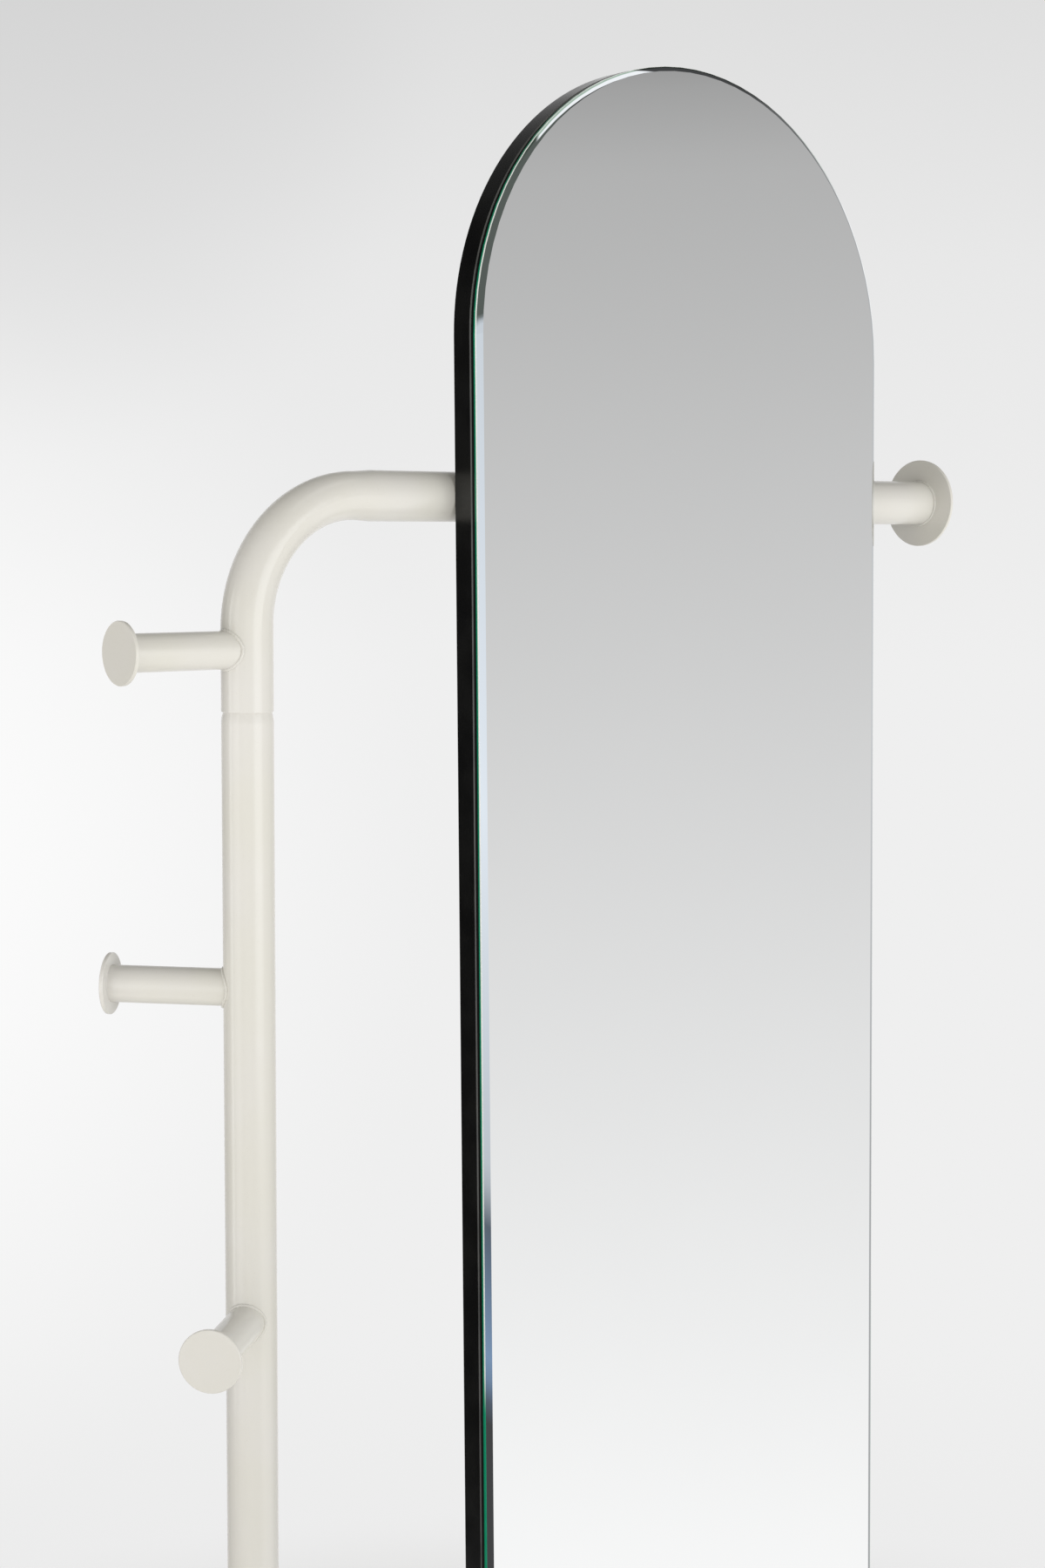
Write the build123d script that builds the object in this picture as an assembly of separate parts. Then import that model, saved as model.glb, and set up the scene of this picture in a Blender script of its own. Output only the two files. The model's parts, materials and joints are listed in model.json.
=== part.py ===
from build123d import *
import math
import os

# Arched mirror that tilts on the bar of a tubular coat stand, in millimetres.
# It is worked out with X along the bar, Y away from the viewer and Z up. The upright stands at
# X = 0, Y = 0 on the floor at Z = 0. Every piece is moved at the end, so that the origin is the
# middle of the footprint.

# Tube frame: the seam between its two tubes lies below the bend
TUBE_OD = 40.0
TUBE_WALL = 2.0
BEND_RADIUS = 100.0
BAR_HEIGHT = 1445.2
BAR_LENGTH = 760.0
SEAM_BELOW_BEND = 64.2
SEAM_CHAMFER = 0.3
SEAM_DRAW_IN = 1.4
SEAM_DRAW_LENGTH = 8.0

# The bend is pressed a little oval, and comes back to round just past its end
BEND_FLATTEN = 2.0
BEND_EASE_ANGLE = 30.0
BEND_RUN_OUT = 16.0

# Sleeve behind the seam and its two screws
SLEEVE_WALL = 3.0
SLEEVE_FIT = 0.05
SLEEVE_TOP_BELOW_BEND = 15.0
SLEEVE_BELOW_SEAM = 85.0
JOINT_SCREW_DIAMETER = 6.0
JOINT_SCREW_LENGTH = 9.0
JOINT_SCREW_HEAD = 10.5
JOINT_SCREW_HEAD_HEIGHT = 3.0
JOINT_SCREW_DROPS = (25.0, 62.0)

# Disc on the free end of the bar
END_DISC_DIAMETER = 80.0
END_DISC_THICKNESS = 3.0

# Pegs: how far each one is below the bend, and its direction round the upright, 0 degrees along the bar
PEG_OD = 29.0
PEG_WALL = 1.5
PEG_REACH = 112.5
PEG_DISC_DIAMETER = 48.0
PEG_DISC_THICKNESS = 3.0
PEG_BELOW_BEND = {"upper": 17.0, "middle": 276.5, "lower": 535.0}
PEG_DIRECTIONS = {"upper": 180.0, "middle": 130.0, "lower": 220.0}
DISC_EDGE_BREAK = 0.5

# Base: a plate with round ends, its left end round the upright
BASE_WIDTH = 780.0
BASE_DEPTH = 300.0
BASE_THICKNESS = 8.0
BASE_EDGE_BREAK = 1.5
MAT_THICKNESS = 2.0
MAT_INSET = 4.0
MAT_HOLE = 34.0

# Foot of the upright
PLUG_LENGTH = 40.0
PLUG_FIT = 0.05
PLUG_CHAMFER = 1.0
BOLT_DIAMETER = 12.0
BOLT_LENGTH = 36.0
BOLT_HEAD = 24.0
BOLT_SOCKET = 8.0
BOLT_SOCKET_DEPTH = 4.0
DOWEL_DIAMETER = 4.0
DOWEL_LENGTH = 12.0
DOWEL_RADIUS = 14.0
THREAD_FIT = 0.05

# Mirror outline: straight sides up to the spring line above the bar, then a half circle
MIRROR_WIDTH = 460.0
MIRROR_LEFT = 185.4
SPRING_ABOVE_BAR = 124.8
MIRROR_BOTTOM_GAP = 100.0
MIRROR_CORNER = 10.0
MIRROR_CORNER_LEAST = 0.5
MIRROR_LEAN = -1.0

# Mirror casing, from back to front
PANEL_GAP = 0.5
RIM_DEPTH = 20.4
RIM_WALL = 24.0
RIM_ARRIS = 0.8
REAR_BOARD_THICKNESS = 3.0
REAR_BOARD_LEDGE = 12.0
REAR_BOARD_FIT = 0.5
CARRIER_THICKNESS = 3.0
CARRIER_INSET = 1.0
ADHESIVE_THICKNESS = 0.6
ADHESIVE_WIDTH = 40.0
ADHESIVE_SPACING = 140.0
ADHESIVE_END_MARGIN = 60.0
GLASS_THICKNESS = 6.0
BEVEL_DEPTH = 2.6
BEVEL_WIDTH = 5.5
BEVEL_TOP_WIDTH = 4.0

# Rails inside the casing
BAR_RAIL_HEIGHT = 130.0
STIFFENER_HEIGHT = 70.0
STIFFENER_DROPS = {"middle_rail": 500.0, "lower_rail": 930.0}

# Clamps that hold the mirror on the bar
CLAMP_SPACING = 280.0
CLAMP_WIDTH = 36.0
CLAMP_STEEL = 2.5
CLAMP_FLANGE = 34.0
CLAMP_BEND = 2.5
CLAMP_CORNER = 6.0
LINER_THICKNESS = 2.0
LINER_FIT = 0.05
LINER_FRONT_GAP = 0.4
CLAMP_SCREW_DIAMETER = 6.0
CLAMP_SCREW_LENGTH = 16.0
CLAMP_SCREW_HEAD = 11.0
CLAMP_SCREW_HEAD_HEIGHT = 3.3
SCREW_HOLE_FIT = 0.25
INSERT_DIAMETER = 9.0
INSERT_LENGTH = 12.0

# Tilt stop: a screw in the bar that sits in a slot of each clamp
TILT_LIMIT = 6.0
STOP_DIAMETER = 6.0
STOP_HEAD = 11.0
STOP_HEAD_HEIGHT = 2.5
STOP_CLEARANCE = 0.5
STOP_DEPTH = 5.0

# Heads of the hexagon socket screws
SCREW_HEAD_BREAK = 0.8
SOCKET_SHARE = 0.5

TUBE_R = TUBE_OD / 2
TUBE_BORE_R = TUBE_R - TUBE_WALL
BEND_START = BAR_HEIGHT - BEND_RADIUS
SEAM_HEIGHT = BEND_START - SEAM_BELOW_BEND
BASE_TOP = MAT_THICKNESS + BASE_THICKNESS
BASE_END_R = BASE_DEPTH / 2
BASE_LEFT = -BASE_END_R
BAR_RIGHT = BAR_LENGTH + END_DISC_THICKNESS
MIRROR_X = MIRROR_LEFT + MIRROR_WIDTH / 2
MIRROR_BOTTOM = MIRROR_BOTTOM_GAP - BAR_HEIGHT
BACK = TUBE_R + PANEL_GAP
BOARD_FRONT = BACK + REAR_BOARD_THICKNESS
RIM_FRONT = BACK + RIM_DEPTH
CARRIER_FRONT = RIM_FRONT + CARRIER_THICKNESS
GLASS_BACK = CARRIER_FRONT + ADHESIVE_THICKNESS
GLASS_FRONT = GLASS_BACK + GLASS_THICKNESS
SADDLE_R = TUBE_R + LINER_FIT + LINER_THICKNESS
SADDLE_OUTER_R = SADDLE_R + CLAMP_STEEL
CLAMP_PLACES = {"left": MIRROR_X - CLAMP_SPACING / 2, "right": MIRROR_X + CLAMP_SPACING / 2}
CLAMP_SCREW_Z = SADDLE_OUTER_R + CLAMP_FLANGE / 2

# Middle of the whole object from its left end, the base, to its right end, the disc on the bar
MIDDLE_X = (BASE_LEFT + BAR_RIGHT) / 2


def annulus_bar(plane, outer_r, inner_r, length):
    """A straight length of tube that grows from a plane along its normal."""
    return extrude(plane * (Circle(outer_r) - Circle(inner_r)), length)


def round_disc(plane, diameter, thickness):
    """A flat disc with softened edges, growing from a plane along its normal."""
    disc = extrude(plane * Circle(diameter / 2), thickness)
    return chamfer(disc.edges().filter_by(GeomType.CIRCLE), DISC_EDGE_BREAK)


def countersunk_cone(diameter, head):
    """Height of a 90 degree countersunk head."""
    return (head - diameter) / 2


# Stand


def base_outline(inset):
    """Outline of the base in plan: straight sides and half-round ends."""
    straight = BASE_WIDTH - BASE_DEPTH
    slot = SlotCenterToCenter(straight, BASE_DEPTH - 2 * inset)
    return Pos(straight / 2, 0) * slot


def base_bolt_body(fit):
    """Countersunk bolt from below, grown by a fit where it is used to cut its own hole."""
    cone = countersunk_cone(BOLT_DIAMETER, BOLT_HEAD)
    head = Pos(0, 0, MAT_THICKNESS) * Cone(
        BOLT_HEAD / 2 + fit, BOLT_DIAMETER / 2 + fit, cone, align=(Align.CENTER, Align.CENTER, Align.MIN)
    )
    shank = Pos(0, 0, MAT_THICKNESS) * Cylinder(
        BOLT_DIAMETER / 2 + fit, BOLT_LENGTH + fit, align=(Align.CENTER, Align.CENTER, Align.MIN)
    )
    return head + shank


def dowel_places():
    return [Pos(side * DOWEL_RADIUS, 0, BASE_TOP) for side in (-1, 1)]


def dowel_bodies(radius, length):
    return [place * Cylinder(radius, length) for place in dowel_places()]


def base_plate():
    plate = extrude(Pos(0, 0, MAT_THICKNESS) * base_outline(0), BASE_THICKNESS)
    plate = chamfer(plate.edges().group_by(Axis.Z)[-1], BASE_EDGE_BREAK)
    plate -= base_bolt_body(THREAD_FIT)
    for hole in dowel_bodies(DOWEL_DIAMETER / 2 + THREAD_FIT, DOWEL_LENGTH):
        plate -= hole
    return plate


def floor_mat():
    mat = extrude(base_outline(MAT_INSET), MAT_THICKNESS)
    return mat - Cylinder(MAT_HOLE / 2, 4 * MAT_THICKNESS)


def upright_tube():
    """Lower tube, its upper end drawn in, so that the seam shows as a soft groove."""
    shoulder = SEAM_HEIGHT - SEAM_DRAW_LENGTH
    lip_r = TUBE_R - SEAM_DRAW_IN
    bore = Polyline(
        (lip_r, SEAM_HEIGHT), (TUBE_BORE_R, SEAM_HEIGHT), (TUBE_BORE_R, BASE_TOP), (TUBE_R, BASE_TOP)
    )
    side = Line((TUBE_R, BASE_TOP), (TUBE_R, shoulder))
    draw = TangentArc((TUBE_R, shoulder), (lip_r, SEAM_HEIGHT), tangent=(0, 1))
    tube = revolve(Plane.XZ * make_face(bore + side + draw), Axis.Z)
    for drop in JOINT_SCREW_DROPS:
        tube -= Pos(0, TUBE_R, SEAM_HEIGHT - drop) * Rot(90, 0, 0) * Cylinder(
            JOINT_SCREW_DIAMETER / 2 + SCREW_HOLE_FIT, TUBE_R
        )
    return tube


def foot_plug():
    base = (Align.CENTER, Align.CENTER, Align.MIN)
    plug = Pos(0, 0, BASE_TOP) * Cylinder(TUBE_BORE_R - PLUG_FIT, PLUG_LENGTH, align=base)
    plug = chamfer(plug.edges().group_by(Axis.Z)[-1], PLUG_CHAMFER)
    plug -= base_bolt_body(THREAD_FIT)
    for hole in dowel_bodies(DOWEL_DIAMETER / 2 + THREAD_FIT, DOWEL_LENGTH + 2 * THREAD_FIT):
        plug -= hole
    return plug


def base_bolt():
    bolt = base_bolt_body(0)
    socket = Plane.XY.offset(MAT_THICKNESS) * RegularPolygon(BOLT_SOCKET / 2, 6, major_radius=False)
    return bolt - extrude(socket, BOLT_SOCKET_DEPTH)


def foot_dowels():
    return Compound(dowel_bodies(DOWEL_DIAMETER / 2, DOWEL_LENGTH))


def bend_plane(angle):
    """Plane across the bend, its X pointing to the outside of the bend."""
    turn = math.radians(angle)
    outward = (-math.cos(turn), 0, math.sin(turn))
    centre = (BEND_RADIUS + BEND_RADIUS * outward[0], 0, BEND_START + BEND_RADIUS * outward[2])
    return Plane(centre, x_dir=outward, z_dir=(math.sin(turn), 0, math.cos(turn)))


def bend_body(radius):
    """Solid of one wall of the bend: round at its foot, oval from the ease angle on, round past its end."""
    oval = Ellipse(radius - BEND_FLATTEN / 2, radius)
    path = RadiusArc((0, BEND_START), (BEND_RADIUS, BAR_HEIGHT), BEND_RADIUS)
    path = Plane.XZ * path
    sections = [bend_plane(0) * Circle(radius), bend_plane(BEND_EASE_ANGLE) * oval, bend_plane(90) * oval]
    bend = sweep(sections, path=path, multisection=True)
    end = bend_plane(90)
    return bend + loft([end * oval, end.offset(BEND_RUN_OUT) * Circle(radius)], ruled=True)


def bar_tube():
    """Upper upright, bend and bar: one tube, with tapped holes for the tilt stops."""
    rise = annulus_bar(Plane.XY.offset(SEAM_HEIGHT), TUBE_R, TUBE_BORE_R, SEAM_BELOW_BEND)
    rim = rise.edges().filter_by(GeomType.CIRCLE).group_by(Axis.Z)[0].sort_by(SortBy.RADIUS)[-1]
    rise = chamfer(rim, SEAM_CHAMFER)
    bend = bend_body(TUBE_R) - bend_body(TUBE_BORE_R)
    run_plane = bend_plane(90).offset(BEND_RUN_OUT)
    run = annulus_bar(run_plane, TUBE_R, TUBE_BORE_R, BAR_LENGTH - BEND_RADIUS - BEND_RUN_OUT)
    tube = rise + bend + run
    for x in CLAMP_PLACES.values():
        tube -= Pos(x, TUBE_R, BAR_HEIGHT) * Rot(90, 0, 0) * Cylinder(STOP_DIAMETER / 2 + THREAD_FIT, TUBE_R)
    return tube


def joint_sleeve():
    outer = TUBE_BORE_R - SLEEVE_FIT
    low = SEAM_HEIGHT - SLEEVE_BELOW_SEAM
    high = BEND_START - SLEEVE_TOP_BELOW_BEND
    sleeve = annulus_bar(Plane.XY.offset(low), outer, outer - SLEEVE_WALL, high - low)
    for drop in JOINT_SCREW_DROPS:
        sleeve -= Pos(0, outer, SEAM_HEIGHT - drop) * Rot(90, 0, 0) * Cylinder(
            JOINT_SCREW_DIAMETER / 2 + THREAD_FIT, outer
        )
    return sleeve


def button_screw(diameter, length, head, head_height):
    """Screw along Z: the head sits on Z = 0 and the shank points down."""
    shank = Cylinder(diameter / 2, length, align=(Align.CENTER, Align.CENTER, Align.MAX))
    top = Cylinder(head / 2, head_height, align=(Align.CENTER, Align.CENTER, Align.MIN))
    top = chamfer(top.edges().group_by(Axis.Z)[-1], SCREW_HEAD_BREAK)
    hexagon = RegularPolygon(SOCKET_SHARE * diameter / 2, 6)
    socket = extrude(Plane.XY.offset(head_height) * hexagon, -SOCKET_SHARE * head_height)
    return shank + top - socket


def from_behind(x, y, z):
    """Place whose local Z points away from the viewer."""
    return Pos(x, y, z) * Rot(-90, 0, 0)


def joint_screws():
    screw = button_screw(
        JOINT_SCREW_DIAMETER, JOINT_SCREW_LENGTH, JOINT_SCREW_HEAD, JOINT_SCREW_HEAD_HEIGHT
    )
    return Compound([from_behind(0, TUBE_R, SEAM_HEIGHT - drop) * screw for drop in JOINT_SCREW_DROPS])


def bar_end_disc():
    plane = Plane((BAR_LENGTH, 0, BAR_HEIGHT), x_dir=(0, 1, 0), z_dir=(1, 0, 0))
    return round_disc(plane, END_DISC_DIAMETER, END_DISC_THICKNESS)


def peg_height(name):
    return BEND_START - PEG_BELOW_BEND[name]


def peg_plane(name, distance):
    """Plane across a peg, at a distance from the upright's axis."""
    angle = math.radians(PEG_DIRECTIONS[name])
    direction = (math.cos(angle), math.sin(angle), 0)
    centre = (distance * direction[0], distance * direction[1], peg_height(name))
    return Plane(centre, x_dir=(0, 0, 1), z_dir=direction)


def peg_rod(name):
    """Tube cut to the round of the upright, so that it closes on it all the way."""
    length = PEG_REACH - PEG_DISC_THICKNESS
    rod = annulus_bar(peg_plane(name, 0), PEG_OD / 2, PEG_OD / 2 - PEG_WALL, length)
    return rod - Pos(0, 0, peg_height(name)) * Cylinder(TUBE_R, 2 * PEG_OD)


def peg_disc(name):
    return round_disc(peg_plane(name, PEG_REACH - PEG_DISC_THICKNESS), PEG_DISC_DIAMETER, PEG_DISC_THICKNESS)


def tilt_stop_screws():
    """A shouldered screw at each clamp: its head stays clear of the clamp's back."""
    head_seat = SADDLE_OUTER_R + STOP_CLEARANCE
    length = head_seat - (TUBE_R - STOP_DEPTH)
    screw = button_screw(STOP_DIAMETER, length, STOP_HEAD, STOP_HEAD_HEIGHT)
    return Compound([from_behind(x, head_seat, BAR_HEIGHT) * screw for x in CLAMP_PLACES.values()])


# Mirror, worked out upright with the bar's axis at Y = 0, Z = 0


def arch_face(inset, lift=0):
    """Mirror outline with round lower corners and a half-round top, set in by an amount, its arch lifted."""
    half = MIRROR_WIDTH / 2 - inset
    low = MIRROR_BOTTOM + inset
    corner = max(MIRROR_CORNER - inset, MIRROR_CORNER_LEAST)
    spring = SPRING_ABOVE_BAR + lift
    body = Pos(MIRROR_X, (spring + low) / 2) * Rectangle(2 * half, spring - low)
    body = fillet(body.vertices().group_by(Axis.Y)[0], corner)
    return body + Pos(MIRROR_X, spring) * Circle(half)


def arch_slab(inset, back, thickness):
    """Arch-shaped sheet whose back lies at a distance in front of the bar's axis."""
    return extrude(Plane.XZ.offset(back) * arch_face(inset), thickness)


def mirror_glass():
    """Glass with a polished edge and a bevel all round its front, narrower over the arch."""
    land = GLASS_THICKNESS - BEVEL_DEPTH
    edge = arch_slab(0, GLASS_BACK, land)
    foot = Plane.XZ.offset(GLASS_BACK + land) * arch_face(0)
    face = Plane.XZ.offset(GLASS_FRONT) * arch_face(BEVEL_WIDTH, BEVEL_WIDTH - BEVEL_TOP_WIDTH)
    return edge + loft([foot, face], ruled=True)


def glass_adhesive():
    """Upright strips between the carrier and the glass."""
    low = MIRROR_BOTTOM + ADHESIVE_END_MARGIN
    middle = (SPRING_ABOVE_BAR + low) / 2
    strip = Pos(0, middle) * Rectangle(ADHESIVE_WIDTH, SPRING_ABOVE_BAR - low)
    plane = Plane.XZ.offset(CARRIER_FRONT)
    return Compound(
        [
            extrude(plane * Pos(MIRROR_X + side * ADHESIVE_SPACING, 0) * strip, ADHESIVE_THICKNESS)
            for side in (-1, 0, 1)
        ]
    )


def glass_carrier():
    return arch_slab(CARRIER_INSET, RIM_FRONT, CARRIER_THICKNESS)


def whole_rim():
    """Casing rim in one piece, with the ledge for the rear board and a softened front arris."""
    outer = arch_slab(0, BACK, RIM_DEPTH)
    front_edges = outer.edges().group_by(Axis.Y)[0]
    outer = chamfer(front_edges, RIM_ARRIS)
    opening = arch_slab(RIM_WALL, BACK, RIM_DEPTH)
    ledge = arch_slab(REAR_BOARD_LEDGE, BACK, REAR_BOARD_THICKNESS)
    return outer - opening - ledge


def rim_pieces():
    """The rim's arch, its two stiles and its bottom rail, cut from the whole rim at the real joints."""
    rim = whole_rim()
    reach = 2 * MIRROR_WIDTH
    above = Pos(MIRROR_X, 0, SPRING_ABOVE_BAR) * Box(
        reach, reach, reach, align=(Align.CENTER, Align.CENTER, Align.MIN)
    )
    between = Box(
        MIRROR_WIDTH - 2 * RIM_WALL, reach, RIM_WALL, align=(Align.CENTER, Align.CENTER, Align.MIN)
    )
    bottom_zone = Pos(MIRROR_X, 0, MIRROR_BOTTOM) * between
    sides = rim - above - bottom_zone
    left, right = sides.solids().sort_by(Axis.X)
    return {
        "rim_arch": rim & above,
        "rim_stile_left": left,
        "rim_stile_right": right,
        "rim_bottom": rim & bottom_zone,
    }


def clamp_screw_spots():
    """Centres of the clamp screws as X and Z."""
    return [(x, level * CLAMP_SCREW_Z) for x in CLAMP_PLACES.values() for level in (-1, 1)]


def rear_board():
    board = arch_slab(REAR_BOARD_LEDGE + REAR_BOARD_FIT, BACK, REAR_BOARD_THICKNESS)
    for x, z in clamp_screw_spots():
        board -= Pos(x, -BACK, z) * Rot(90, 0, 0) * Cylinder(
            CLAMP_SCREW_DIAMETER / 2 + SCREW_HOLE_FIT, 4 * REAR_BOARD_THICKNESS
        )
    return board


def rail(level, height):
    """Rail between the stiles that fills the casing from the rear board to the carrier."""
    depth = RIM_FRONT - BOARD_FRONT
    width = MIRROR_WIDTH - 2 * RIM_WALL
    box = Box(width, depth, height, align=(Align.CENTER, Align.MAX, Align.CENTER))
    return Pos(MIRROR_X, -BOARD_FRONT, level) * box


def bar_rail():
    piece = rail(0, BAR_RAIL_HEIGHT)
    for x, z in clamp_screw_spots():
        piece -= Pos(x, -BOARD_FRONT, z) * Rot(90, 0, 0) * Cylinder(
            INSERT_DIAMETER / 2, INSERT_LENGTH, align=(Align.CENTER, Align.CENTER, Align.MIN)
        )
    return piece


def rail_inserts():
    """Threaded inserts, flush with the rail's back."""
    ring = Circle(INSERT_DIAMETER / 2) - Circle(CLAMP_SCREW_DIAMETER / 2 + THREAD_FIT)
    plane = Plane.XZ.offset(BOARD_FRONT)
    return Compound([extrude(plane * Pos(x, z) * ring, INSERT_LENGTH) for x, z in clamp_screw_spots()])


def clamp_screws():
    screw = button_screw(
        CLAMP_SCREW_DIAMETER, CLAMP_SCREW_LENGTH, CLAMP_SCREW_HEAD, CLAMP_SCREW_HEAD_HEIGHT
    )
    seat = -BACK + CLAMP_STEEL
    return Compound([from_behind(x, seat, z) * screw for x, z in clamp_screw_spots()])


def stop_slot(x):
    """Cutter for the slot that lets a tilt stop travel, longer than the tilt by the clearance."""
    swing = SADDLE_OUTER_R * math.sin(math.radians(TILT_LIMIT))
    width = STOP_DIAMETER + 2 * STOP_CLEARANCE
    slot = Rot(0, 0, 90) * SlotOverall(width + 2 * swing, width)
    return extrude(Plane.XZ * Pos(x, 0) * slot, -2 * SADDLE_OUTER_R)


def clamp(x):
    """Strip of steel bent round the back of the bar, with a flange above and below it."""
    flange_z = SADDLE_OUTER_R + CLAMP_FLANGE
    loop = Circle(SADDLE_OUTER_R) + Pos(-BACK / 2, 0) * Rectangle(BACK, 2 * SADDLE_OUTER_R)
    flanges = Pos(-BACK + CLAMP_STEEL / 2, 0) * Rectangle(CLAMP_STEEL, 2 * flange_z)
    inner = Circle(SADDLE_R) + Pos(-SADDLE_OUTER_R, 0) * Rectangle(2 * SADDLE_OUTER_R, 2 * SADDLE_R)
    front = Pos(-BACK - SADDLE_OUTER_R, 0) * Rectangle(2 * SADDLE_OUTER_R, 4 * flange_z)
    profile = loop + flanges - inner - front
    near = CLAMP_STEEL / 10
    inside_corners = [
        v
        for v in profile.vertices()
        if abs(v.X + BACK - CLAMP_STEEL) < near and abs(abs(v.Y) - SADDLE_OUTER_R) < near
    ]
    profile = fillet(inside_corners, CLAMP_BEND)
    plane = Plane((x - CLAMP_WIDTH / 2, 0, 0), x_dir=(0, 1, 0), z_dir=(1, 0, 0))
    strip = extrude(plane * profile, CLAMP_WIDTH)
    ends = strip.edges().filter_by(Axis.Y)
    outer_ends = [e for e in ends if abs(abs(e.center().Z) - flange_z) < near]
    strip = fillet(outer_ends, CLAMP_CORNER)
    for level in (-1, 1):
        strip -= Pos(x, -BACK, level * CLAMP_SCREW_Z) * Rot(90, 0, 0) * Cylinder(
            CLAMP_SCREW_DIAMETER / 2 + SCREW_HOLE_FIT, 4 * CLAMP_STEEL
        )
    return strip - stop_slot(x)


def liner(x):
    """Sliding liner between the clamp and the bar."""
    outer = Circle(SADDLE_R) + Pos(-BACK / 2, 0) * Rectangle(BACK, 2 * SADDLE_R)
    bore = TUBE_R + LINER_FIT
    inner = Circle(bore) + Pos(-SADDLE_R, 0) * Rectangle(2 * SADDLE_R, 2 * bore)
    front = Pos(-BACK + LINER_FRONT_GAP - SADDLE_R, 0) * Rectangle(2 * SADDLE_R, 4 * SADDLE_R)
    plane = Plane((x - CLAMP_WIDTH / 2, 0, 0), x_dir=(0, 1, 0), z_dir=(1, 0, 0))
    return extrude(plane * (outer - inner - front), CLAMP_WIDTH) - stop_slot(x)


def stand_nodes():
    nodes = {
        "base_plate": base_plate(),
        "floor_mat": floor_mat(),
        "upright_tube": upright_tube(),
        "foot_plug": foot_plug(),
        "base_bolt": base_bolt(),
        "foot_dowels": foot_dowels(),
        "bar_tube": bar_tube(),
        "joint_sleeve": joint_sleeve(),
        "joint_screws": joint_screws(),
        "bar_end_disc": bar_end_disc(),
        "tilt_stop_screws": tilt_stop_screws(),
    }
    for name in PEG_BELOW_BEND:
        nodes[f"peg_{name}_rod"] = peg_rod(name)
        nodes[f"peg_{name}_disc"] = peg_disc(name)
    return nodes


def mirror_nodes():
    """Mirror pieces at the bar, leaning as they rest."""
    nodes = {
        "mirror_glass": mirror_glass(),
        "glass_adhesive": glass_adhesive(),
        "glass_carrier": glass_carrier(),
        "rear_board": rear_board(),
        "bar_rail": bar_rail(),
        "rail_inserts": rail_inserts(),
        "clamp_screws": clamp_screws(),
    }
    nodes.update(rim_pieces())
    for name, drop in STIFFENER_DROPS.items():
        nodes[name] = rail(-drop, STIFFENER_HEIGHT)
    for side, x in CLAMP_PLACES.items():
        nodes[f"clamp_{side}"] = clamp(x)
        nodes[f"liner_{side}"] = liner(x)
    place = Pos(0, 0, BAR_HEIGHT) * Rot(MIRROR_LEAN, 0, 0)
    return {name: place * shape for name, shape in nodes.items()}


def write_parts():
    os.makedirs("parts", exist_ok=True)
    for name, shape in {**stand_nodes(), **mirror_nodes()}.items():
        export_step(Pos(-MIDDLE_X, 0, 0) * shape, f"parts/{name}.step")


write_parts()
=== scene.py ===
import json
import math
import bmesh
import bpy
from mathutils import Matrix, Vector


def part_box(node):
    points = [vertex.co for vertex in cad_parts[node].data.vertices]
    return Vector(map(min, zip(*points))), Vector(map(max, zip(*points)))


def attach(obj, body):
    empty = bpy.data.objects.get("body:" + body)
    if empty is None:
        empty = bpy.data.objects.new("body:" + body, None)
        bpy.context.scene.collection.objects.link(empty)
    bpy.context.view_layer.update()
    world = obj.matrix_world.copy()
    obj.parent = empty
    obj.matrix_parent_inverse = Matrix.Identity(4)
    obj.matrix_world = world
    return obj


# Looks for the arched mirror on its coat stand: finishes for every part, weld beads, room and camera.
# All lengths are in metres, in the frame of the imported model.

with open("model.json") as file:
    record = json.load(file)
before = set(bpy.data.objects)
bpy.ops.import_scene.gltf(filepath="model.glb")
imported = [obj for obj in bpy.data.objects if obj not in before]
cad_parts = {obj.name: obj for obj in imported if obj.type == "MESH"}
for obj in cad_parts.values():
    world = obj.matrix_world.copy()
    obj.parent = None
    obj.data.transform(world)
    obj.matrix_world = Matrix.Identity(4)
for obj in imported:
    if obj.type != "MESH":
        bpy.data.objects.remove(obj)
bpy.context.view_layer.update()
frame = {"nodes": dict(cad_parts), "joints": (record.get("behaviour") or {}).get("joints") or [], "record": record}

# Places read from the frame
tilt = next(j for j in frame["joints"] if j["name"] == "mirror_tilt")
BAR_AXIS = Vector(tilt["pos_m"])
UPRIGHT_LOW, UPRIGHT_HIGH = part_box("upright_tube")
UPRIGHT_X = (UPRIGHT_LOW.x + UPRIGHT_HIGH.x) / 2
TUBE_RADIUS = (UPRIGHT_HIGH.x - UPRIGHT_LOW.x) / 2
DISC_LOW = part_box("bar_end_disc")[0]

# Mirror planes, as distances in front of the bar's axis; the mirror leans from upright
LEAN = math.radians(-1.0)
FRONT = Vector((0, -math.cos(LEAN), -math.sin(LEAN)))
RIM_FRONT = 0.0409
GLASS_BACK = 0.0445
ARRIS = 0.0480
GLASS_FRONT = 0.0505

# The lacquered rim carries a painted highlight along its front arris, from the first to the second of these
# distances behind its front
ARRIS_HIGHLIGHT_DEPTHS = (0.0011, 0.0007)

# The white arris of the glass fades in between these heights above the bar's axis
WHITE_ARRIS_HEIGHTS = (-0.74, -0.70)

# How far the bevel's normal turns outward at its outer edge, as a share of its own slope
BEVEL_ROUND = 0.45

# Camera, from the fit to the photograph's edges; the picture is 1200 x 1800
IMAGE_LONG_SIDE = 1800
FOCAL_PIXELS = 2985.9
SENSOR = 36.0
CAMERA_PLACE = Vector((-1.4187, -1.6391, 1.4199))
CAMERA_YAW = 0.70185
CAMERA_PITCH = -0.0978
CAMERA_ROLL = 0.00373


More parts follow.
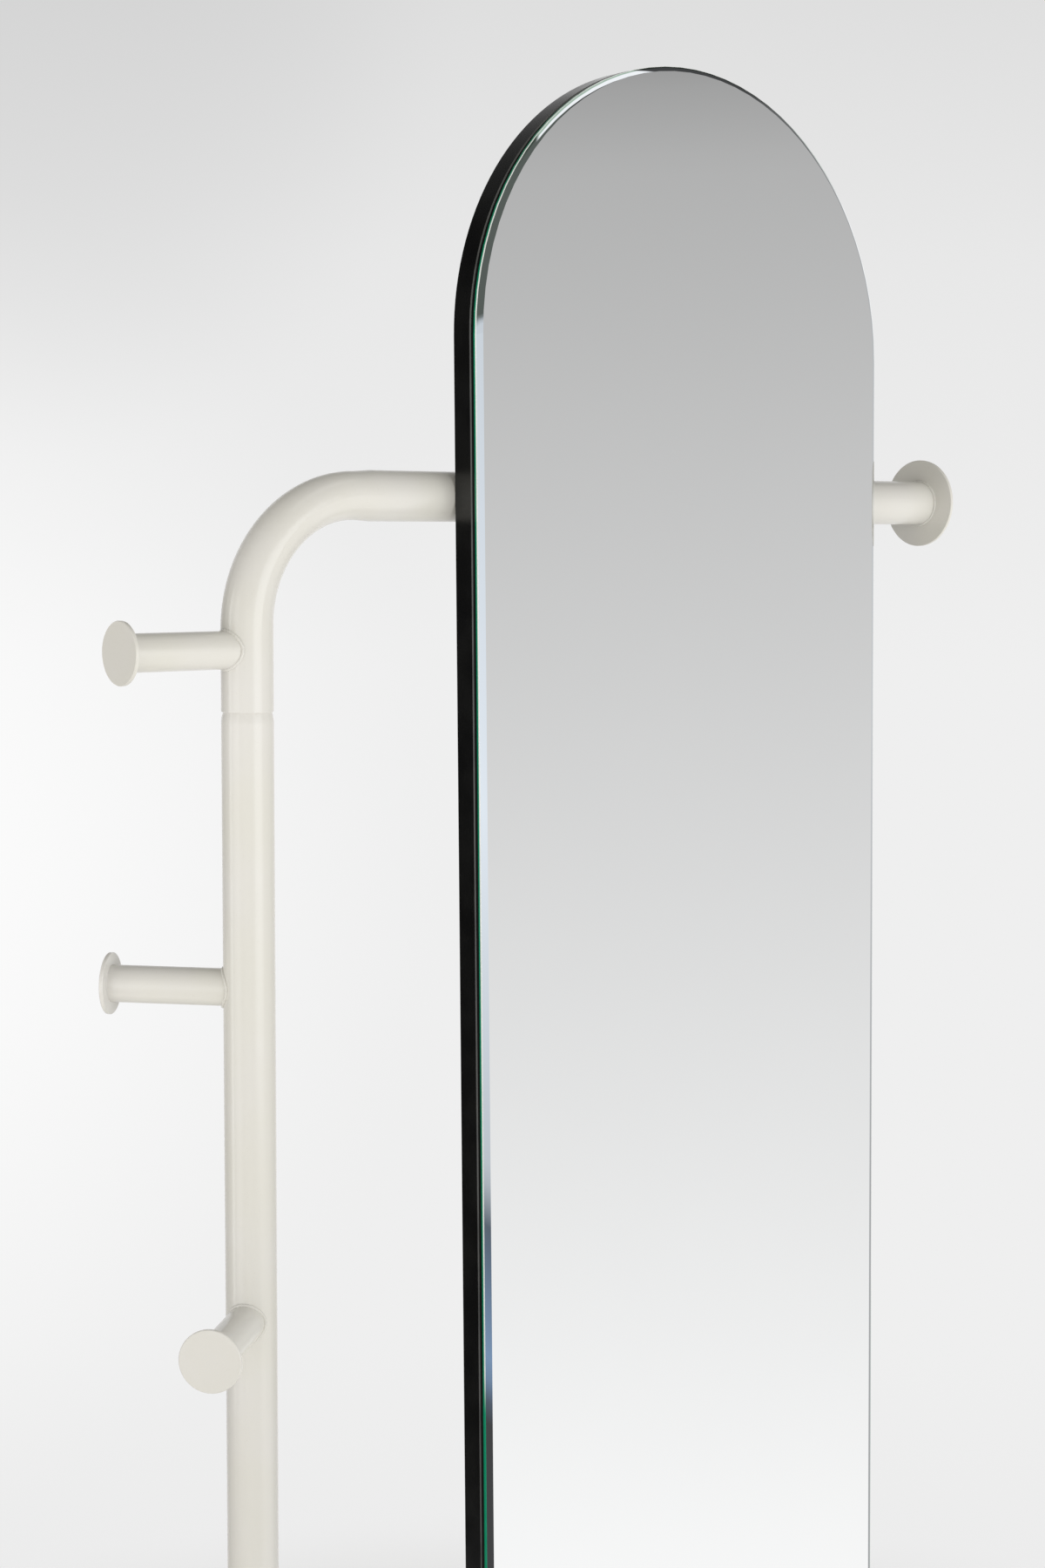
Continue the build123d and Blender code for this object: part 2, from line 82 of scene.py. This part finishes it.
def make_camera():
    """Camera looking away from the viewer, turned right by yaw, up by pitch and then rolled."""
    ahead = Vector(
        (
            math.sin(CAMERA_YAW) * math.cos(CAMERA_PITCH),
            math.cos(CAMERA_YAW) * math.cos(CAMERA_PITCH),
            math.sin(CAMERA_PITCH),
        )
    )
    level = Vector((math.cos(CAMERA_YAW), -math.sin(CAMERA_YAW), 0))
    upward = level.cross(ahead)
    right = level * math.cos(CAMERA_ROLL) + upward * math.sin(CAMERA_ROLL)
    top = upward * math.cos(CAMERA_ROLL) - level * math.sin(CAMERA_ROLL)
    data = bpy.data.cameras.new("camera")
    data.sensor_width = SENSOR
    data.lens = SENSOR * FOCAL_PIXELS / IMAGE_LONG_SIDE
    data.clip_start = 0.05
    data.clip_end = 60
    camera = link_object("camera", data)
    turn = Matrix((right, top, -ahead)).transposed().to_4x4()
    camera.matrix_world = Matrix.Translation(CAMERA_PLACE) @ turn
    bpy.context.scene.camera = camera


def link_object(name, data):
    """New object in the scene from its data."""
    made = bpy.data.objects.new(name, data)
    bpy.context.scene.collection.objects.link(made)
    return made


# Shader helpers


def linear(value):
    """Linear light of an 8-bit value as a screen shows it."""
    share = value / 255
    return share / 12.92 if share <= 0.04045 else ((share + 0.055) / 1.055) ** 2.4


def screen(red, green, blue):
    """Linear colour from 8-bit values as a screen shows them."""
    return (linear(red), linear(green), linear(blue), 1.0)


class Tree:
    """Adds nodes to a node tree and links them, so that each finish reads as a few lines."""

    def __init__(self, tree):
        self.tree = tree
        tree.nodes.clear()

    def node(self, kind, inputs=None, **settings):
        made = self.tree.nodes.new(kind)
        for key, value in settings.items():
            setattr(made, key, value)
        for key, value in (inputs or {}).items():
            self.give(made.inputs[key], value)
        return made

    def give(self, socket, value):
        if isinstance(value, bpy.types.NodeSocket):
            self.tree.links.new(value, socket)
        else:
            socket.default_value = value

    def math(self, operation, first, second=0.0):
        made = self.node("ShaderNodeMath", {0: first, 1: second}, operation=operation)
        return made.outputs[0]

    def vector(self, operation, first, second=(0, 0, 0)):
        made = self.node("ShaderNodeVectorMath", {0: first, 1: second}, operation=operation)
        return made.outputs["Vector"]

    def scaled(self, vector, scale):
        made = self.node("ShaderNodeVectorMath", {0: vector, "Scale": scale}, operation="SCALE")
        return made.outputs["Vector"]

    def along(self, vector, direction):
        made = self.node("ShaderNodeVectorMath", {0: vector, 1: direction}, operation="DOT_PRODUCT")
        return made.outputs["Value"]

    def line(self, value, low, high, start=0.0, end=1.0, shape="LINEAR"):
        """Change from start to end as value goes from low to high, held outside them."""
        made = self.node(
            "ShaderNodeMapRange",
            {"Value": value, "From Min": low, "From Max": high, "To Min": start, "To Max": end},
            interpolation_type=shape,
        )
        return made.outputs["Result"]

    def step(self, value, low, high, start=0.0, end=1.0):
        """The same change with soft ends."""
        return self.line(value, low, high, start, end, "SMOOTHSTEP")

    def between(self, value, low_start, low_end, high_start, high_end):
        """One between two soft limits and nothing outside them."""
        rise = self.step(value, low_start, low_end)
        return self.math("MULTIPLY", rise, self.step(value, high_start, high_end, 1.0, 0.0))

    def noise(self, vector, scale, detail):
        made = self.node("ShaderNodeTexNoise", {"Vector": vector, "Scale": scale, "Detail": detail})
        return made.outputs["Fac"]

    def wave(self, vector, direction, scale, distortion, detail=2.0):
        inputs = {"Vector": vector, "Scale": scale, "Distortion": distortion, "Detail": detail}
        return self.node("ShaderNodeTexWave", inputs, bands_direction=direction).outputs["Fac"]

    def mix(self, factor, first, second):
        made = self.node("ShaderNodeMix", data_type="RGBA")
        self.give(made.inputs["Factor"], factor)
        self.give(made.inputs["A"], first)
        self.give(made.inputs["B"], second)
        return made.outputs["Result"]

    def ramp(self, factor, stops):
        """Colour ramp from (place, colour) pairs."""
        made = self.node("ShaderNodeValToRGB", {"Fac": factor})
        elements = made.color_ramp.elements
        while len(elements) < len(stops):
            elements.new(0.5)
        for element, (place, colour) in zip(elements, stops):
            element.position = place
            element.color = colour
        return made.outputs["Color"]

    def spread(self, cosine, pairs):
        """Colour ramp over a cosine, from pairs of its value and a grey level or colour."""
        place = self.node("ShaderNodeMath", {0: cosine, 1: 0.5, 2: 0.5}, operation="MULTIPLY_ADD")
        stops = [((c + 1) / 2, v if isinstance(v, tuple) else (v, v, v, 1)) for c, v in pairs]
        return self.ramp(place.outputs[0], stops)

    def bump(self, height, strength, distance, normal=None):
        inputs = {"Height": height, "Strength": strength, "Distance": distance}
        if normal is not None:
            inputs["Normal"] = normal
        return self.node("ShaderNodeBump", inputs).outputs["Normal"]


def new_finish(name):
    """Material with an empty tree, its object coordinates and its output."""
    material = bpy.data.materials.new(name)
    material.use_nodes = True
    tree = Tree(material.node_tree)
    coordinates = tree.node("ShaderNodeTexCoord")
    output = tree.node("ShaderNodeOutputMaterial")
    return material, tree, coordinates, output


def surface(tree, output, **inputs):
    """Principled shader wired to the output; keys are socket names with underscores for spaces."""
    shader = tree.node("ShaderNodeBsdfPrincipled", {k.replace("_", " "): v for k, v in inputs.items()})
    tree.tree.links.new(shader.outputs["BSDF"], output.inputs["Surface"])


# Finishes, one for each material slot

POWDER = screen(231, 229, 226)
POWDER_WARM = screen(229, 227, 221)


def powder_finish(name):
    """Satin powder coat: fine orange peel, a slow drift of tone and a few specks."""
    material, tree, coordinates, output = new_finish(name)
    place = coordinates.outputs["Object"]
    drift = tree.noise(place, 9.0, 3.0)
    peel = tree.noise(place, 1500.0, 1.0)
    ripple = tree.noise(place, 320.0, 2.0)
    speck = tree.step(tree.noise(place, 700.0, 0.0), 0.73, 0.78)
    colour = tree.mix(tree.step(drift, 0.35, 0.65), POWDER, POWDER_WARM)
    colour = tree.mix(tree.math("MULTIPLY", speck, 0.06), colour, screen(196, 188, 172))
    normal = tree.bump(peel, 0.06, 0.0002)
    normal = tree.bump(ripple, 0.025, 0.0006, normal)
    surface(
        tree,
        output,
        Base_Color=colour,
        Roughness=tree.step(ripple, 0.3, 0.7, 0.19, 0.23),
        Normal=normal,
        Specular_IOR_Level=0.5,
    )
    return material


def lacquer_finish(name):
    """Satin black lacquer on fibreboard, with a painted highlight along the front arris."""
    material, tree, coordinates, output = new_finish(name)
    place = coordinates.outputs["Object"]
    offset = tree.vector("SUBTRACT", place, BAR_AXIS)
    depth = tree.along(offset, FRONT)
    arris = tree.step(depth, *(RIM_FRONT - back for back in ARRIS_HIGHLIGHT_DEPTHS))
    grain = tree.noise(place, 900.0, 3.0)
    patch = tree.noise(place, 26.0, 3.0)
    # Painted highlight: the band along the front arris is mixed toward light grey, varied by the patches
    arris_highlight = tree.math("MULTIPLY", arris, tree.step(patch, 0.2, 0.6, 0.6, 1.0))
    base = tree.mix(tree.step(patch, 0.35, 0.7), screen(8, 8, 8), screen(13, 13, 12))
    colour = tree.mix(arris_highlight, base, screen(98, 98, 98))
    surface(
        tree,
        output,
        Base_Color=colour,
        Roughness=tree.step(patch, 0.3, 0.7, 0.20, 0.26),
        Normal=tree.bump(grain, 0.06, 0.0003),
        Specular_IOR_Level=0.5,
    )
    return material


def board_finish(name):
    """Black painted hardboard with its woven press mark."""
    material, tree, coordinates, output = new_finish(name)
    place = coordinates.outputs["Object"]
    across = tree.wave(place, "X", 260.0, 0.6)
    upward = tree.wave(place, "Z", 260.0, 0.6)
    mesh = tree.math("MULTIPLY", across, upward)
    cloud = tree.noise(place, 14.0, 4.0)
    colour = tree.mix(cloud, screen(10, 10, 10), screen(18, 18, 17))
    surface(
        tree,
        output,
        Base_Color=colour,
        Roughness=tree.step(cloud, 0.3, 0.7, 0.55, 0.68),
        Normal=tree.bump(mesh, 0.25, 0.0002),
        Specular_IOR_Level=0.15,
    )
    return material


def rounded_bevel(tree, normal, depth):
    """Normal of the glass front, with the bevel polished slightly round toward its outer edge."""
    sideways = tree.vector("SUBTRACT", normal, tree.scaled(FRONT, tree.along(normal, FRONT)))
    turn = tree.line(depth, ARRIS, GLASS_FRONT, BEVEL_ROUND, 0.0)
    bent = tree.vector("NORMALIZE", tree.vector("ADD", normal, tree.scaled(sideways, turn)))
    return tree.node(
        "ShaderNodeVectorTransform",
        {"Vector": bent},
        vector_type="NORMAL",
        convert_from="OBJECT",
        convert_to="WORLD",
    ).outputs["Vector"]


# Tints of the silvered faces: the front's two tones, then the bevel, whose blue is a painted reflection
SILVER_TONES = ((0.925, 0.93, 0.93, 1), (0.94, 0.945, 0.945, 1))
BEVEL_REFLECTION_TINT = (0.895, 0.925, 0.955, 1)

# Up the arch the bevel's outer edge shows the green of the glass, up to these distances past the arris
OUTER_BEVEL_TINT = (0.36, 0.48, 0.40, 1)
OUTER_BEVEL = (0.0006, 0.0009)

# Greens of the ground edge, from the back of the glass to the arris
EDGE_GREENS = [
    (0.0, screen(2, 18, 12)),
    (0.15, screen(4, 56, 40)),
    (0.24, screen(12, 134, 98)),
    (0.64, screen(22, 154, 116)),
]


def mirror_finish(name):
    """Silvered glass: clear front, bevel tinted blue as a painted reflection, green ground edge with a white
    arris.
    """
    material, tree, coordinates, output = new_finish(name)
    place = coordinates.outputs["Object"]
    offset = tree.vector("SUBTRACT", place, BAR_AXIS)
    depth = tree.along(offset, FRONT)
    height = tree.along(offset, (0, 0, 1))
    facing = tree.along(coordinates.outputs["Normal"], FRONT)
    bevel = tree.step(facing, 0.97, 0.96)
    silvered = tree.step(depth, ARRIS, ARRIS + 0.0001)
    silvered = tree.math("MULTIPLY", tree.step(facing, 0.45, 0.5), silvered)
    haze = tree.noise(place, 7.0, 4.0)
    silver_colour = tree.mix(haze, *SILVER_TONES)
    # Painted reflection: the bevel's silver is tinted blue
    silver_colour = tree.mix(bevel, silver_colour, BEVEL_REFLECTION_TINT)
    upward = tree.step(tree.along(coordinates.outputs["Normal"], (0, 0, 1)), 0.28, 0.36)
    outer = tree.step(depth, *(ARRIS + ahead for ahead in OUTER_BEVEL), 1.0, 0.0)
    through = tree.math("MULTIPLY", bevel, tree.math("MULTIPLY", upward, outer))
    silver_colour = tree.mix(through, silver_colour, OUTER_BEVEL_TINT)
    silver = tree.node(
        "ShaderNodeBsdfPrincipled",
        {
            "Base Color": silver_colour,
            "Metallic": 1.0,
            "Roughness": tree.step(haze, 0.3, 0.8, 0.0, 0.012),
            "Normal": rounded_bevel(tree, coordinates.outputs["Normal"], depth),
        },
    )
    streak = tree.noise(place, 60.0, 3.0)
    across = tree.line(depth, GLASS_BACK, ARRIS)
    green = tree.ramp(across, EDGE_GREENS)
    white = tree.step(across, 0.62, 0.70)
    white = tree.math("MULTIPLY", white, tree.step(height, *WHITE_ARRIS_HEIGHTS))
    green = tree.mix(white, green, screen(250, 253, 252))
    green = tree.mix(tree.math("MULTIPLY", streak, 0.12), green, screen(34, 130, 100))
    edge = tree.node(
        "ShaderNodeBsdfPrincipled",
        {
            "Base Color": green,
            "Roughness": tree.step(streak, 0.3, 0.7, 0.12, 0.22),
            "Coat Weight": 0.15,
            "Coat Roughness": 0.05,
            "Specular IOR Level": 0.3,
        },
    )
    joined = tree.node("ShaderNodeMixShader", {0: silvered, 1: edge.outputs[0], 2: silver.outputs[0]})
    tree.tree.links.new(joined.outputs[0], output.inputs["Surface"])
    return material


def plain_finish(name, dark, light, scale, roughness, metallic=0.0, bump=0.1):
    """Finish for small and hidden parts: two tones, their grain and its relief."""
    material, tree, coordinates, output = new_finish(name)
    place = coordinates.outputs["Object"]
    grain = tree.noise(place, scale, 4.0)
    surface(
        tree,
        output,
        Base_Color=tree.mix(grain, dark, light),
        Roughness=tree.step(grain, 0.3, 0.7, roughness - 0.05, roughness + 0.05),
        Metallic=metallic,
        Normal=tree.bump(grain, bump, 0.0003),
    )
    return material


def wood_finish(name):
    """Planed softwood: growth rings drawn out along the rail."""
    material, tree, coordinates, output = new_finish(name)
    place = coordinates.outputs["Object"]
    long_grain = tree.node("ShaderNodeMapping", {"Vector": place, "Scale": (0.12, 1.0, 1.0)})
    rings = tree.wave(long_grain.outputs["Vector"], "Z", 90.0, 5.0, 3.0)
    surface(
        tree,
        output,
        Base_Color=tree.mix(rings, screen(214, 178, 128), screen(178, 134, 86)),
        Roughness=tree.step(rings, 0.2, 0.8, 0.55, 0.65),
        Normal=tree.bump(rings, 0.1, 0.0003),
    )
    return material


def make_finishes():
    """Finish for each material slot of the record."""
    return {
        "powder": powder_finish("powder_coat"),
        "clamp_steel": powder_finish("powder_coat_clamps"),
        "painted_screws": plain_finish(
            "painted_heads", screen(214, 209, 200), screen(228, 224, 216), 600.0, 0.4
        ),
        "silvered_glass": mirror_finish("silvered_glass"),
        "black_lacquer": lacquer_finish("black_lacquer"),
        "black_board": board_finish("black_board"),
        "rubber_mat": plain_finish(
            "foam_rubber", screen(30, 30, 30), screen(52, 51, 50), 1200.0, 0.85, bump=0.5
        ),
        "foam_tape": plain_finish(
            "foam_tape", screen(18, 18, 18), screen(34, 34, 34), 900.0, 0.8
        ),
        "bare_steel": plain_finish(
            "zinc_plate", screen(150, 152, 156), screen(188, 190, 192), 240.0, 0.35, metallic=1.0
        ),
        "raw_wood": wood_finish("softwood"),
        "brass_insert": plain_finish(
            "turned_brass", screen(186, 150, 84), screen(214, 182, 112), 500.0, 0.3, metallic=1.0
        ),
        "nylon_liner": plain_finish(
            "moulded_nylon", screen(26, 26, 27), screen(44, 44, 45), 700.0, 0.5
        ),
    }


def dress_nodes(finishes):
    """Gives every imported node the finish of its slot."""
    for entry in frame["record"]["subparts"]:
        node = frame["nodes"][entry["node"]]
        node.data.materials.clear()
        node.data.materials.append(finishes[entry["material_slot"]])


# Weld beads

BEAD_RADIUS = 0.0013
BEAD_LIFT = BEAD_RADIUS * 0.3
BEAD_SIDES = 10
BEAD_STEPS = 120
BEAD_RIPPLES = 34
BEAD_RIPPLE_DEPTH = 0.10


def bead_mesh(name, path):
    """Closed bead along a ring of points, with the ripples that welding leaves."""
    mesh = bmesh.new()
    rings = []
    count = len(path)
    for i, point in enumerate(path):
        ahead = (path[(i + 1) % count] - path[i - 1]).normalized()
        side = ahead.orthogonal() if i == 0 else ahead.cross(rings_up).normalized()
        rings_up = side.cross(ahead).normalized()
        swell = 1 + BEAD_RIPPLE_DEPTH * math.sin(2 * math.pi * BEAD_RIPPLES * i / count)
        ring = []
        for k in range(BEAD_SIDES):
            angle = 2 * math.pi * k / BEAD_SIDES
            offset = (side * math.cos(angle) + rings_up * math.sin(angle)) * BEAD_RADIUS * swell
            ring.append(mesh.verts.new(point + offset))
        rings.append(ring)
    for i in range(count):
        here, there = rings[i], rings[(i + 1) % count]
        shift = nearest_shift(here[0], there) if i == count - 1 else 0
        for k in range(BEAD_SIDES):
            a, b = here[k], here[(k + 1) % BEAD_SIDES]
            c = there[(k + 1 + shift) % BEAD_SIDES]
            d = there[(k + shift) % BEAD_SIDES]
            mesh.faces.new((a, b, c, d))
    bmesh.ops.recalc_face_normals(mesh, faces=mesh.faces)
    data = bpy.data.meshes.new(name)
    mesh.to_mesh(data)
    mesh.free()
    data.shade_smooth()
    return link_object(name, data)


def nearest_shift(vertex, ring):
    """How many places the last ring has to turn to meet the first."""
    return min(range(len(ring)), key=lambda k: (ring[k].co - vertex.co).length)


def peg_joint_path(disc_node):
    """Ring where a peg meets the upright, worked out from the peg disc's place."""
    low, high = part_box(disc_node)
    centre = (low + high) / 2
    out = Vector((centre.x - UPRIGHT_X, centre.y, 0)).normalized()
    side = Vector((-out.y, out.x, 0))
    rod_low, rod_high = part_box(disc_node.replace("_disc", "_rod"))
    radius = (rod_high.z - rod_low.z) / 2 + BEAD_LIFT
    tube = TUBE_RADIUS + BEAD_LIFT
    axis = Vector((UPRIGHT_X, 0, centre.z))
    path = []
    for i in range(BEAD_STEPS):
        angle = 2 * math.pi * i / BEAD_STEPS
        across = radius * math.cos(angle)
        reach = math.sqrt(tube**2 - across**2)
        path.append(axis + out * reach + side * across + Vector((0, 0, radius * math.sin(angle))))
    return path


def flat_ring_path(centre, normal, radius):
    """Ring in a plane through a centre."""
    side = normal.orthogonal().normalized()
    other = normal.cross(side)
    steps = [2 * math.pi * i / BEAD_STEPS for i in range(BEAD_STEPS)]
    return [centre + (side * math.cos(a) + other * math.sin(a)) * radius for a in steps]


def make_welds(finish):
    """Beads at the pegs, the end disc and the foot."""
    pegs = ("upper", "middle", "lower")
    paths = {f"weld_peg_{name}": peg_joint_path(f"peg_{name}_disc") for name in pegs}
    bead_ring = TUBE_RADIUS + BEAD_LIFT
    disc_face = Vector((DISC_LOW.x - BEAD_LIFT, BAR_AXIS.y, BAR_AXIS.z))
    paths["weld_end_disc"] = flat_ring_path(disc_face, Vector((1, 0, 0)), bead_ring)
    foot = Vector((UPRIGHT_X, 0, UPRIGHT_LOW.z + BEAD_LIFT))
    paths["weld_foot"] = flat_ring_path(foot, Vector((0, 0, 1)), bead_ring)
    for name, path in paths.items():
        piece = bead_mesh(name, path)
        piece.data.materials.append(finish)
        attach(piece, "stand")


# Room: floor, backdrop and light
# These levels and the finishes' colours were set from tones measured on the photograph

FLOOR_RADIUS = 1.5
FLOOR_FADE = 0.9
FLOOR_SIDES = 96
FLOOR_GLOW = 0.62
FLOOR_COLOUR = screen(240, 240, 239)
FLOOR_GRAIN_COLOUR = screen(225, 225, 224)

# Backdrop as the camera sees it: grey levels by the upward part of the view direction
BACKDROP_STOPS = [(-0.38, 236), (-0.30, 239), (-0.05, 239), (0.10, 232), (0.20, 222)]
BACKDROP_GLOW_DIRECTION = Vector((0.40, 0.91, -0.12)).normalized()
BACKDROP_GLOW_EDGE = 0.965
BACKDROP_GLOW = 0.115
BACKDROP_GLOW_POWER = 1.6
BACKDROP_SHADE_DIRECTION = Vector((0.48, 0.86, 0.19)).normalized()
BACKDROP_SHADE_EDGE = 0.985
BACKDROP_SHADE = 0.07

# Room at the left, made up so that the bevel shows about the measured tones
ROOM_FLOOR = screen(70, 70, 70)
ROOM_DAYLIGHT = screen(130, 155, 185)
ROOM_SHADE = screen(90, 100, 110)
WALL_FOOT = screen(195, 200, 205)
WALL_BRIGHT = screen(235, 240, 245)
WALL_TOP = screen(205, 210, 215)
ROOM_ABOVE = screen(90, 95, 90)

# Room as polished faces see it, by the upward part of the direction: in front of the object, at its
# left and at its right
FRONT_STOPS = [(-0.35, 0.985), (0.16, 0.47), (0.19, 0.375), (0.23, 0.14), (0.45, 0.06)]
LEFT_STOPS = [
    (-0.30, ROOM_FLOOR),
    (-0.285, ROOM_DAYLIGHT),
    (-0.235, ROOM_SHADE),
    (-0.215, WALL_FOOT),
    (-0.08, WALL_BRIGHT),
    (0.16, WALL_TOP),
    (0.175, ROOM_ABOVE),
]
RIGHT_STOPS = [(-0.24, 0.40), (-0.06, 0.62), (0.24, 0.40), (0.37, 0.17), (0.64, 0.06)]

# Behind the object the lit backdrop ends above and at the left: light by height, share by side
BEHIND_STOPS = [(0.30, 0.95), (0.37, 0.85), (0.59, 0.27), (0.64, 0.20), (1.0, 0.15)]
BEHIND_SHARES = [(-0.45, 0.04), (-0.30, 0.10), (-0.08, 0.48), (0.30, 1.0)]

# Where left passes into front, front into right and all three into behind
LEFT_EDGE = (0.10, 0.25)
RIGHT_EDGE = (0.80, 0.86)
BEHIND_EDGE = (0.35, 0.45)

# Long light under the ceiling that the bevel at the top of the arch shows: its ends and its sides
CEILING_ALONG = Vector((0.88, 0.48, 0)).normalized()
CEILING_ACROSS = Vector((-0.48, 0.88, 0)).normalized()
CEILING_ENDS = (-0.34, -0.30, 0.36, 0.40)
CEILING_SIDES = (-0.51, -0.49, -0.28, -0.24)
CEILING_START = (0.4, 0.5)
CEILING_LIGHT = (0.97, 0.97, 0.97, 1)

# Light that reaches matte faces from all round: strong from below, weak from above and from behind
DOME_HEIGHTS = (-0.3, 0.7)
DOME_LOW = 1.03
DOME_HIGH = 0.40
DOME_BACK_DIRECTION = (-0.3, 0.95, 0)
DOME_BACK_SHARE = 0.1
DOME_TINT = (1.0, 0.972, 0.895)

# Softboxes, measured from the upright's foot: place, point aimed at, width, height, radiance, colour
WHITE = (1, 1, 1)
COOL_WHITE = (0.935, 0.965, 1.0)
SOFTBOXES = {
    "front_box": ((0.6, -2.47, 1.35), (0.6, 0, 1.35), 1.7, 1.8, 2.05, COOL_WHITE),
    "left_box": ((-2.02, 0.99, 1.1), (0, 0, 1.1), 0.5, 2.2, 2.5, WHITE),
    "fill_box": ((-2.2, -0.1, 1.1), (0, 0, 1.1), 1.2, 2.2, 1.1, WHITE),
}


def make_floor():
    """Pale round floor that melts into the backdrop and keeps the object's shadow."""
    mesh = bmesh.new()
    bmesh.ops.create_circle(mesh, cap_ends=True, segments=FLOOR_SIDES, radius=FLOOR_RADIUS)
    data = bpy.data.meshes.new("floor")
    mesh.to_mesh(data)
    mesh.free()
    floor = link_object("floor", data)
    material, tree, coordinates, output = new_finish("floor_paper")
    place = coordinates.outputs["Object"]
    length = tree.node("ShaderNodeVectorMath", {0: place}, operation="LENGTH").outputs["Value"]
    fade = tree.step(length, FLOOR_FADE, FLOOR_RADIUS)
    path = tree.node("ShaderNodeLightPath")
    seen = tree.math("MAXIMUM", path.outputs["Is Camera Ray"], path.outputs["Is Glossy Ray"])
    seen = tree.math("MAXIMUM", seen, path.outputs["Is Transmission Ray"])
    paper = tree.noise(place, 300.0, 2.0)
    tone = tree.mix(tree.math("MULTIPLY", paper, 0.03), FLOOR_COLOUR, FLOOR_GRAIN_COLOUR)
    matte = tree.node("ShaderNodeBsdfDiffuse", {"Color": tone}).outputs[0]
    glow = tree.node("ShaderNodeEmission", {"Color": tone, "Strength": 1.0}).outputs[0]
    share = tree.math("MULTIPLY", seen, FLOOR_GLOW)
    body = tree.node("ShaderNodeMixShader", {0: share, 1: matte, 2: glow}).outputs[0]
    clear = tree.node("ShaderNodeBsdfTransparent").outputs[0]
    melted = tree.node("ShaderNodeMixShader", {0: fade, 1: body, 2: clear}).outputs[0]
    tree.tree.links.new(melted, output.inputs["Surface"])
    floor.data.materials.append(material)


def make_world():
    """Room: the camera sees a pale backdrop, polished faces see the studio round them."""
    world = bpy.data.worlds.new("studio")
    world.use_nodes = True
    bpy.context.scene.world = world
    tree = Tree(world.node_tree)
    direction = tree.node("ShaderNodeTexCoord").outputs["Generated"]
    height = tree.along(direction, (0, 0, 1))
    sideways = tree.along(direction, (1, 0, 0))
    away = tree.along(direction, (0, 1, 0))

    front = tree.spread(height, FRONT_STOPS)
    left = tree.spread(height, LEFT_STOPS)
    right = tree.spread(height, RIGHT_STOPS)
    behind = tree.spread(height, BEHIND_STOPS)
    behind = tree.mix(tree.spread(sideways, BEHIND_SHARES), (0, 0, 0, 1), behind)
    room = tree.mix(tree.step(sideways, *LEFT_EDGE), left, front)
    room = tree.mix(tree.step(sideways, *RIGHT_EDGE), room, right)
    room = tree.mix(tree.step(away, *BEHIND_EDGE), room, behind)
    ends = tree.between(tree.along(direction, CEILING_ALONG), *CEILING_ENDS)
    sides = tree.between(tree.along(direction, CEILING_ACROSS), *CEILING_SIDES)
    ceiling = tree.math("MULTIPLY", ends, sides)
    ceiling = tree.math("MULTIPLY", ceiling, tree.step(height, *CEILING_START))
    room = tree.mix(ceiling, room, CEILING_LIGHT)

    backdrop = tree.spread(height, [(z, screen(v, v, v)) for z, v in BACKDROP_STOPS])
    glow = tree.line(tree.along(direction, BACKDROP_GLOW_DIRECTION), BACKDROP_GLOW_EDGE, 1.0)
    glow = tree.math("MULTIPLY", tree.math("POWER", glow, BACKDROP_GLOW_POWER), BACKDROP_GLOW)
    shade = tree.along(direction, BACKDROP_SHADE_DIRECTION)
    shade = tree.step(shade, BACKDROP_SHADE_EDGE, 1.0, 0.0, BACKDROP_SHADE)
    change = tree.math("SUBTRACT", glow, shade)
    backdrop = tree.vector("ADD", backdrop, change)

    dome = tree.step(height, *DOME_HEIGHTS, DOME_LOW, DOME_HIGH)
    back = tree.step(tree.along(direction, DOME_BACK_DIRECTION), 0.0, 1.0, 1.0, DOME_BACK_SHARE)
    dome = tree.math("MULTIPLY", dome, back)
    dome = tree.scaled(DOME_TINT, dome)

    path = tree.node("ShaderNodeLightPath")
    polished = tree.math("MAXIMUM", path.outputs["Is Glossy Ray"], path.outputs["Is Transmission Ray"])
    colour = tree.mix(polished, dome, room)
    colour = tree.mix(path.outputs["Is Camera Ray"], colour, backdrop)
    background = tree.node("ShaderNodeBackground", {"Color": colour, "Strength": 1.0})
    output = tree.node("ShaderNodeOutputWorld")
    tree.tree.links.new(background.outputs[0], output.inputs["Surface"])


def softbox(name, centre, target, width, height, radiance, colour):
    """Soft rectangular light that faces a target; radiance 1 looks white."""
    data = bpy.data.lights.new(name, "AREA")
    data.color = colour
    data.shape = "RECTANGLE"
    data.size = width
    data.size_y = height
    data.energy = radiance * math.pi * width * height
    lamp = link_object(name, data)
    lamp.rotation_euler = (target - centre).to_track_quat("-Z", "Y").to_euler()
    lamp.location = centre


def make_lights():
    """Softboxes in front and at the far left, as the soft lines on the upright show, and a fill."""
    foot = Vector((UPRIGHT_X, 0, 0))
    for name, (centre, target, *rest) in SOFTBOXES.items():
        softbox(name, foot + Vector(centre), foot + Vector(target), *rest)


make_camera()
finishes = make_finishes()
dress_nodes(finishes)
make_welds(finishes["powder"])
make_floor()
make_world()
make_lights()

bpy.context.scene.view_settings.view_transform = "Standard"
